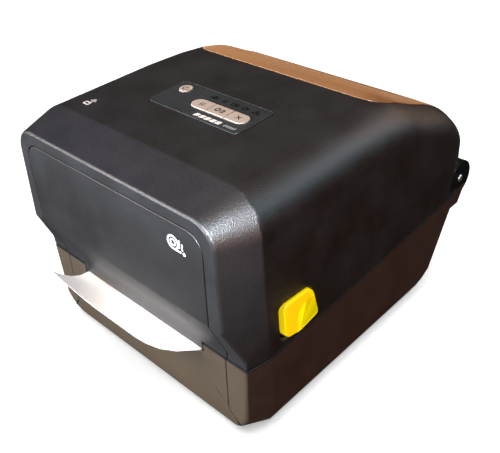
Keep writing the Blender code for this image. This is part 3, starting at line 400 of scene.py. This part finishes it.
class EdgeGroup:
    """Modifier nodes that merge shared points, mark crisp edges and say how wide each is rounded."""

    def __init__(self, rules):
        self.group = bpy.data.node_groups.new("edges", "GeometryNodeTree")
        self.group.interface.new_socket("Geometry", in_out="INPUT", socket_type="NodeSocketGeometry")
        self.group.interface.new_socket("Geometry", in_out="OUTPUT", socket_type="NodeSocketGeometry")
        self.nodes, self.links = self.group.nodes, self.group.links
        ends = self.nodes.new("GeometryNodeInputMeshEdgeVertices")
        self.depths = []
        for key in ("Position 1", "Position 2"):
            split = self.nodes.new("ShaderNodeSeparateXYZ")
            self.links.new(ends.outputs[key], split.inputs[0])
            self.depths.append(split.outputs["Y"])
        self.angle = self.nodes.new("GeometryNodeInputMeshEdgeAngle").outputs["Unsigned Angle"]
        width = None
        for rule in rules:
            share = self.rule(*rule)
            width = share if width is None else self.calc("MAXIMUM", width, share)
        crisp = self.calc("GREATER_THAN", width, CRISP)
        merge = self.nodes.new("GeometryNodeMergeByDistance")
        merge.inputs["Distance"].default_value = WELD * MM
        sharp = self.nodes.new("GeometryNodeSetMeshNormal")
        sharp.mode = "SHARPNESS"
        sharp.inputs["Remove Custom"].default_value = True
        store = self.nodes.new("GeometryNodeStoreNamedAttribute")
        store.data_type = "FLOAT"
        store.domain = "EDGE"
        store.inputs["Name"].default_value = "bevel_weight_edge"
        self.links.new(self.nodes.new("NodeGroupInput").outputs[0], merge.inputs[0])
        self.links.new(merge.outputs[0], sharp.inputs["Mesh"])
        self.links.new(crisp, sharp.inputs["Edge Sharpness"])
        self.links.new(sharp.outputs[0], store.inputs["Geometry"])
        self.links.new(width, store.inputs["Value"])
        self.links.new(store.outputs[0], self.nodes.new("NodeGroupOutput").inputs[0])

    def calc(self, operation, first, second):
        node = self.nodes.new("ShaderNodeMath")
        node.operation = operation
        for socket, value in zip(node.inputs, (first, second)):
            if isinstance(value, float):
                socket.default_value = value
            else:
                self.links.new(value, socket)
        return node.outputs[0]

    def rule(self, low_angle, high_angle, depths, share):
        """The share, on edges whose angle and both ends are within the limits, and 0 elsewhere."""
        found = self.calc("MULTIPLY", self.calc("GREATER_THAN", self.angle, math.radians(low_angle)), share)
        found = self.calc("MULTIPLY", found, self.calc("LESS_THAN", self.angle, math.radians(high_angle)))
        low, high = (FRONT + depth * MM for depth in depths)
        for depth in self.depths:
            found = self.calc("MULTIPLY", found, self.calc("GREATER_THAN", depth, low))
            found = self.calc("MULTIPLY", found, self.calc("LESS_THAN", depth, high))
        return found


def round_edges(node, width, segments=2, weighted=False):
    """Flatten split faces, then round the marked edges; weighted normals keep big faces even."""
    flat = node.modifiers.new("flat", "DECIMATE")
    flat.decimate_type = "DISSOLVE"
    flat.angle_limit = math.radians(LEVEL)
    flat.delimit = {"SHARP"}
    soft = node.modifiers.new("soft", "BEVEL")
    soft.width = width * MM
    soft.segments = segments
    soft.limit_method = "WEIGHT"
    soft.use_clamp_overlap = False
    soft.harden_normals = not weighted
    if weighted:
        shade = node.modifiers.new("shade", "WEIGHTED_NORMAL")
        shade.keep_sharp = True


def refine_edges():
    plain = EdgeGroup(((SHARP, FOLDED, ANYWHERE, 1.0),)).group
    for name, node in NODES.items():
        modifier = node.modifiers.new("edges", "NODES")
        modifier.node_group = plain
        if name in CASE_RULES:
            modifier.node_group = EdgeGroup(CASE_RULES[name]).group
            round_edges(node, CASE_WIDTH, 3, weighted=name == "base_housing")
        elif name in EDGES:
            round_edges(node, EDGES[name])


# ================================================================ printed marks
PANEL_TOP = top_of("control_panel")
COVER_TOP = top_of("top_cover")
KEY_TOP = top_of("pause_button")
POWER_DISH = 0.12          # the power button's face is dished by this much
FACE_FOOT = 86.0           # the front face's lower edge, and the height it rises by
FACE_RISE = 59.3
FACE_LEAN = 3.3 / FACE_RISE
INK = (-0.06, 0.05)        # a printed plate's lower and upper face, off its surface


def flat_at(height):
    """Marks lying on a level surface, read from the front."""
    return lambda u, v, off: place(u, v, height + off)


def on_face(u, v, off):
    """Marks on the leaning front face."""
    return place(u, FACE_LEAN * (v - FACE_FOOT) - off, v)


def arc_points(centre, radius, first, last, steps):
    angles = [math.radians(first + (last - first) * i / steps) for i in range(steps + 1)]
    return [(centre[0] + radius * math.cos(a), centre[1] + radius * math.sin(a)) for a in angles]


class Marks:
    """Printed shapes of one colour on one body, each a thin plate just proud of its surface."""

    def __init__(self, name, body, look):
        self.name, self.body, self.look = name, body, look
        self.mesh = bmesh.new()

    def plate(self, surface, outline):
        low, high = ([self.mesh.verts.new(surface(u, v, off)) for u, v in outline] for off in INK)
        self.mesh.faces.new(low[::-1])
        self.mesh.faces.new(high)
        for i in range(len(outline)):
            j = (i + 1) % len(outline)
            self.mesh.faces.new((low[i], low[j], high[j], high[i]))

    def bar(self, surface, u, v, slant=0.0):
        self.plate(surface, ((u[0], v[0]), (u[1], v[0]), (u[1] + slant, v[1]), (u[0] + slant, v[1])))

    def stroke(self, surface, first, last, width):
        along = (Vector(last) - Vector(first)).normalized() * width / 2
        across = Vector((-along.y, along.x))
        ends = (Vector(first) - along, Vector(last) + along)
        corners = (ends[0] - across, ends[1] - across, ends[1] + across, ends[0] + across)
        self.plate(surface, [tuple(corner) for corner in corners])

    def ring(self, surface, centre, outer, inner, first=0.0, last=360.0, steps=24):
        half = steps // 2
        middle = (first + last) / 2
        for low, high in ((first, middle), (middle, last)):
            rim = arc_points(centre, outer, low, high, half)
            self.plate(surface, rim + arc_points(centre, inner, high, low, half))

    def disc(self, surface, centre, radius):
        self.plate(surface, arc_points(centre, radius, 0.0, 345.0, 23))

    def frame(self, surface, u, v, width):
        for low, high in ((v[0], v[0] + width), (v[1] - width, v[1])):
            self.bar(surface, u, (low, high))
        for low, high in ((u[0], u[0] + width), (u[1] - width, u[1])):
            self.bar(surface, (low, high), (v[0] + width, v[1] - width))

    def finish(self):
        bmesh.ops.recalc_face_normals(self.mesh, faces=self.mesh.faces)
        mesh = bpy.data.meshes.new(self.name)
        self.mesh.to_mesh(mesh)
        self.mesh.free()
        mesh.materials.append(self.look)
        item = bpy.data.objects.new(self.name, mesh)
        bpy.context.scene.collection.objects.link(item)
        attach(item, self.body)


WORD_X = (0.4, 20.8)       # where the panel has its large and its small lettering
WORD_DEPTH = (66.0, 68.9)
WORD_SLANT = 0.3
MODEL_X = (23.0, 31.4)
MODEL_DEPTH = (66.5, 68.3)
STATUS_DEPTH = 87.6
ROLL_MIDDLE = (51.9, 126.4)
LOAD_FRAME = ((-63.2, -58.6), (38.6, 41.8))
ARROW_FOOT = (-59.9, 42.4)
PAUSE_SHIFT = 0.4          # how far a sign is off its key's middle, because of the key's round end
CANCEL_SHIFT = -0.05


def plain_word(marks, surface, span, depths, count, gap):
    """A row of slanted blocks where the real object has lettering."""
    step = (span[1] - span[0]) / count
    slant = (depths[1] - depths[0]) * WORD_SLANT
    for i in range(count):
        start = span[0] + i * step
        marks.bar(surface, (start, start + step - gap), depths, slant)


def roll_sign(marks):
    """A label roll seen from its end, with its tongue and a dot, on the front panel."""
    x, z = ROLL_MIDDLE
    marks.ring(on_face, (x, z), 4.1, 3.1)
    marks.ring(on_face, (x, z), 2.1, 1.2)
    marks.stroke(on_face, (x + 0.5, z - 3.6), (x + 5.1, z - 3.6), 1.0)
    marks.stroke(on_face, (x + 4.5, z - 1.2), (x + 4.5, z + 2.6), 0.9)
    marks.stroke(on_face, (x + 6.5, z - 1.8), (x + 6.5, z + 1.2), 0.9)
    marks.disc(on_face, (x + 7.5, z - 3.8), 1.0)


def load_sign(outline, arrow):
    """A label outline with an arrow over it, at the front left of the cover's top."""
    top = flat_at(COVER_TOP)
    outline.frame(top, *LOAD_FRAME, 0.75)
    x, depth = ARROW_FOOT
    half = ((0.7, 0.0), (0.7, 1.2), (2.5, 1.2))
    right = [(x + across, depth + back) for across, back in half]
    left = [(x - across, depth + back) for across, back in half]
    arrow.plate(top, right + [(x, depth + 4.2)] + left[::-1])


def data_sign(marks, surface, x, depth):
    marks.plate(surface, arc_points((x, depth), 1.9, 0.0, 315.0, 7))
    for side in (x - 2.5, x + 2.5):
        marks.stroke(surface, (side, depth - 1.1), (side, depth + 1.1), 0.6)


def waiting_sign(marks, surface, x, depth):
    for side in (x - 0.9, x + 0.9):
        marks.bar(surface, (side - 0.5, side + 0.5), (depth - 1.7, depth + 1.7))


def labels_sign(marks, surface, x, depth):
    marks.frame(surface, (x - 1.5, x + 1.5), (depth - 1.6, depth + 1.6), 0.8)
    marks.plate(surface, arc_points((x + 2.8, depth), 1.5, 0.0, 330.0, 11))


def ribbon_sign(marks, surface, x, depth):
    marks.ring(surface, (x, depth), 2.0, 1.0)
    marks.plate(surface, ((x + 1.6, depth - 1.3), (x + 3.6, depth), (x + 1.6, depth + 1.3)))


def network_sign(marks, surface, x, depth):
    for across, back in ((0.0, 1.2), (-1.6, -1.1), (1.6, -1.1)):
        marks.bar(surface, (x + across - 1.0, x + across + 1.0), (depth + back - 0.9, depth + back + 0.9))
    marks.stroke(surface, (x, depth + 0.6), (x, depth - 1.1), 0.5)


# the row of lamps on the panel, and where each stands
STATUS_SIGNS = ((data_sign, -4.4), (waiting_sign, 3.5), (labels_sign, 10.1), (ribbon_sign, 18.6),
                (network_sign, 27.4))


def power_sign(marks):
    key = flat_at(KEY_TOP - POWER_DISH)
    x, depth = middle_of("power_button")
    marks.ring(key, (x, depth), 2.1, 1.55, 115.0, 425.0)
    marks.stroke(key, (x, depth + 0.6), (x, depth + 2.1), 0.5)


def pause_sign(marks):
    key = flat_at(KEY_TOP)
    x, depth = middle_of("pause_button")
    for side in (x + PAUSE_SHIFT - 0.9, x + PAUSE_SHIFT + 0.9):
        marks.bar(key, (side - 0.35, side + 0.35), (depth - 1.65, depth + 1.65))


def feed_sign(marks):
    key = flat_at(KEY_TOP)
    x, depth = middle_of("feed_button")
    marks.ring(key, (x - 1.85, depth + 0.15), 1.9, 0.95)
    marks.frame(key, (x + 0.85, x + 3.25), (depth - 1.75, depth + 1.65), 0.55)
    marks.stroke(key, (x + 2.05, depth - 0.85), (x + 2.05, depth + 0.75), 0.5)


def cancel_sign(marks):
    key = flat_at(KEY_TOP)
    x, depth = middle_of("cancel_button")
    x += CANCEL_SHIFT
    for lean in (-1.5, 1.5):
        marks.stroke(key, (x - 1.5, depth - lean), (x + 1.5, depth + lean), 0.55)


KEY_SIGNS = {"power": power_sign, "pause": pause_sign, "feed": feed_sign, "cancel": cancel_sign}


def make_marks():
    umber = ink("umber_ink", (0.040, 0.030, 0.026))
    white_marks = Marks("white_marks", "cover", ink("white_ink", (0.92, 0.93, 0.95)))
    grey_marks = Marks("grey_marks", "cover", ink("grey_ink", (0.42, 0.42, 0.45)))
    black_marks = Marks("black_marks", "cover", ink("black_ink", (0.002, 0.002, 0.002), 0.6, 0.1))
    panel = flat_at(PANEL_TOP)
    plain_word(white_marks, panel, WORD_X, WORD_DEPTH, 5, 0.9)
    plain_word(grey_marks, panel, MODEL_X, MODEL_DEPTH, 6, 0.6)
    roll_sign(white_marks)
    load_sign(white_marks, grey_marks)
    for draw, x in STATUS_SIGNS:
        draw(black_marks, panel, x, STATUS_DEPTH)
    for marks in (white_marks, grey_marks, black_marks):
        marks.finish()
    for name, draw in KEY_SIGNS.items():
        marks = Marks(name + "_mark", name + "_button", umber)
        draw(marks)
        marks.finish()


# ================================================================ stage
# radius and height, in metres, of the rings of the studio floor: level, then swept up to a wall
SWEEP = ((3.2, 0.0), (3.6, 0.05), (4.0, 0.2), (4.35, 0.5), (4.55, 0.9), (4.65, 1.5), (4.65, 6.0))
SWEEP_STEPS = 48
FLOOR_GLOW = 0.45


def sweep_mesh():
    """A level disc with a wall round it, joined by a curve."""
    spots = []
    for radius, height in SWEEP:
        for step in range(SWEEP_STEPS):
            angle = 2.0 * math.pi * step / SWEEP_STEPS
            spots.append((radius * math.cos(angle), radius * math.sin(angle), height))
    faces = [tuple(range(SWEEP_STEPS))]
    for first in range(0, len(spots) - SWEEP_STEPS, SWEEP_STEPS):
        for step in range(SWEEP_STEPS):
            a, b = first + step, first + (step + 1) % SWEEP_STEPS
            faces.append((a, b, b + SWEEP_STEPS, a + SWEEP_STEPS))
    mesh = bpy.data.meshes.new("floor")
    mesh.from_pydata(spots, [], faces)
    for face in mesh.polygons[1:]:
        face.use_smooth = True
    return mesh


def pale_floor():
    shader = Shader("floor")
    cloud = shader.noise(3.0, detail=3.0)
    shader.link(shader.mix(cloud, (0.83, 0.83, 0.82), (0.86, 0.86, 0.85)), "Base Color")
    shader.set(Roughness=0.9, Specular_IOR_Level=0.2)
    shader.set(Emission_Color=(*WHITE, 1.0), Emission_Strength=FLOOR_GLOW)
    return shader.material


def make_stage():
    """One pale floor, so that a low view has no dark horizon; it throws no light on the object."""
    mesh = sweep_mesh()
    mesh.materials.append(pale_floor())
    floor = bpy.data.objects.new("floor", mesh)
    bpy.context.scene.collection.objects.link(floor)
    floor.visible_glossy = False
    floor.visible_diffuse = False
    return floor


def collection_of(name, item, state):
    """A collection outside the scene that says which object a light reaches or leaves out."""
    group = bpy.data.collections.new(name)
    group.objects.link(item)
    group.collection_objects[0].light_linking.link_state = state
    return group


def area_light(name, centre, aim, size, power, colour, reach, sheen=False):
    data = bpy.data.lights.new(name, "AREA")
    data.shape = "RECTANGLE"
    data.size, data.size_y = size
    data.energy = power
    data.color = colour
    light = bpy.data.objects.new(name, data)
    bpy.context.scene.collection.objects.link(light)
    light.location = centre
    light.rotation_mode = "QUATERNION"
    light.rotation_quaternion = (Vector(aim) - Vector(centre)).to_track_quat("-Z", "Y")
    light.visible_camera = False
    light.visible_diffuse = not sheen
    light.light_linking.receiver_collection = reach


SKY = (1.0, 0.80, 0.62)
SKY_STRENGTH = 0.006
BODY = (0.0, 0.0, 0.08)     # the middle of the printer, in metres
# name, centre, aim, size, watts, colour
FLOOR_LIGHTS = (
    ("floor_key", (-1.15, -1.27, 1.60), BODY, (1.2, 1.2), 18.0, WHITE),
    ("floor_fill", (0.2, 0.3, 2.4), (0.0, 0.0, 0.0), (3.0, 3.0), 105.0, WHITE),
)
BODY_LIGHTS = (
    ("key", (-1.15, -1.27, 1.00), BODY, (0.9, 0.9), 58.0, (1.0, 0.84, 0.68)),
    ("low_key", (-0.45, -1.45, 0.30), BODY, (1.0, 0.5), 70.0, (0.71, 0.83, 1.0)),
    ("top_fill", (-0.1, 0.2, 2.2), BODY, (1.8, 1.8), 17.0, (1.0, 0.82, 0.72)),
    ("side_fill", (1.10, -0.50, 0.25), BODY, (0.8, 0.5), 5.6, (1.0, 0.30, 0.04)),
    ("rear_fill", (0.50, 1.60, 0.80), BODY, (1.0, 0.6), 8.0, (1.0, 0.62, 0.42)),
)
SHEEN_CARDS = (
    ("right_floor_card", (0.50, -0.32, 0.0), (0.50, -0.32, 1.0), (0.6, 0.5), 1.3, (0.70, 0.82, 1.0)),
    ("slope_card", (-0.85, -0.20, 1.15), BODY, (0.8, 0.8), 2.4, (0.20, 0.35, 1.0)),
    ("shoulder_card", (0.78, 0.78, 0.85), BODY, (0.75, 0.75), 8.0, (0.42, 0.78, 1.0)),
    ("corner_card", (0.68, -0.66, 0.90), BODY, (0.27, 0.27), 150.0, (0.87, 0.92, 1.0)),
)
WINDOW_CARD = ("wood_card", (-0.95, 1.05, 0.12), (0.0, 0.08, 0.10), (1.6, 0.9), 3.0, (1.0, 0.58, 0.30))


def make_sky():
    world = bpy.data.worlds.new("studio")
    bpy.context.scene.world = world
    world.use_nodes = True
    sky = world.node_tree.nodes["Background"]
    sky.inputs["Color"].default_value = (*SKY, 1.0)
    sky.inputs["Strength"].default_value = SKY_STRENGTH


def make_lights(floor):
    """The floor and the object have their own lights; the cards only show as sheen."""
    only_floor = collection_of("only_floor", floor, "INCLUDE")
    no_floor = collection_of("no_floor", floor, "EXCLUDE")
    only_window = collection_of("only_window", NODES["media_window"], "INCLUDE")
    for light in FLOOR_LIGHTS:
        area_light(*light, only_floor)
    for light in BODY_LIGHTS:
        area_light(*light, no_floor)
    for card_light in SHEEN_CARDS:
        area_light(*card_light, no_floor, sheen=True)
    area_light(*WINDOW_CARD, only_window, sheen=True)


make_camera()
make_materials()
refine_edges()
make_marks()
make_sky()
make_lights(make_stage())
bpy.context.scene.view_settings.view_transform = "Standard"
